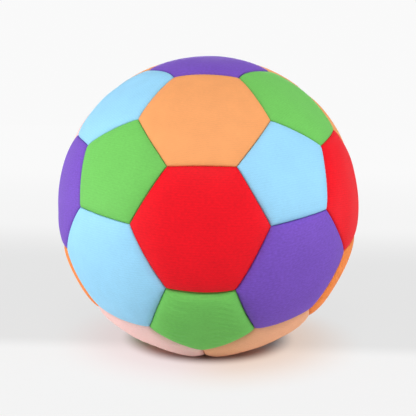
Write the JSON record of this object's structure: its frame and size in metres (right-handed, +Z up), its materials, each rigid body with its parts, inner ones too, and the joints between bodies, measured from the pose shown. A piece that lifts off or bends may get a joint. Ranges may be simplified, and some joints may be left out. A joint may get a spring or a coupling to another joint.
{
  "type": "indoor soccer ball",
  "caption": "Soft indoor soccer ball: padded knit pentagon and hexagon panels sewn over an air-filled rubber bladder with a needle valve.",
  "frame": {"origin": "on the floor, straight under the ball's middle, at the contact flat of the base pentagon", "axes": "+Z up; the upright front hexagon faces -Y, and the valve's outer face looks along +Y"},
  "size_m": [0.2142, 0.2158, 0.2152],
  "materials": {
    "knit_red": "fine smooth knit",
    "knit_orange": "fine smooth knit",
    "knit_peach": "fine smooth knit",
    "knit_green": "fine smooth knit",
    "knit_light_blue": "fine smooth knit",
    "knit_purple": "fine smooth knit",
    "knit_pink": "fine smooth knit",
    "thread": "waxed thread",
    "bladder_rubber": "smooth",
    "valve_rubber": "smooth moulded",
    "core_rubber": "soft"
  },
  "bodies": {
    "root": {"hexagon_front": "knit_red", "hexagon_front_high": "knit_peach", "hexagon_high_left": "knit_light_blue", "hexagon_high_right": "knit_green", "hexagon_left": "knit_purple", "hexagon_right": "knit_red", "hexagon_front_low_left": "knit_light_blue", "hexagon_front_low_right": "knit_purple", "hexagon_base_left": "knit_pink", "hexagon_base_right": "knit_peach", "hexagon_back_top_left": "knit_peach", "hexagon_back_top_right": "knit_peach", "hexagon_back_high_left": "knit_green", "hexagon_back_high_right": "knit_purple", "hexagon_rear_left": "knit_red", "hexagon_rear_right": "knit_green", "hexagon_back": "knit_orange", "hexagon_base_back_left": "knit_green", "hexagon_base_back_right": "knit_light_blue", "hexagon_base_back": "knit_red", "pentagon_front_left": "knit_green", "pentagon_front_right": "knit_light_blue", "pentagon_front_low": "knit_green", "pentagon_top": "knit_purple", "pentagon_high_left": "knit_pink", "pentagon_high_right": "knit_peach", "pentagon_left": "knit_orange", "pentagon_right": "knit_orange", "pentagon_base": "knit_purple", "pentagon_back_high": "knit_pink", "pentagon_back_left": "knit_light_blue", "pentagon_back_right": "knit_peach", "seam_thread": "thread", "bladder": "bladder_rubber", "valve_ring": "valve_rubber", "valve_housing": "valve_rubber", "valve_core": "core_rubber"}
  },
  "joints": []
}
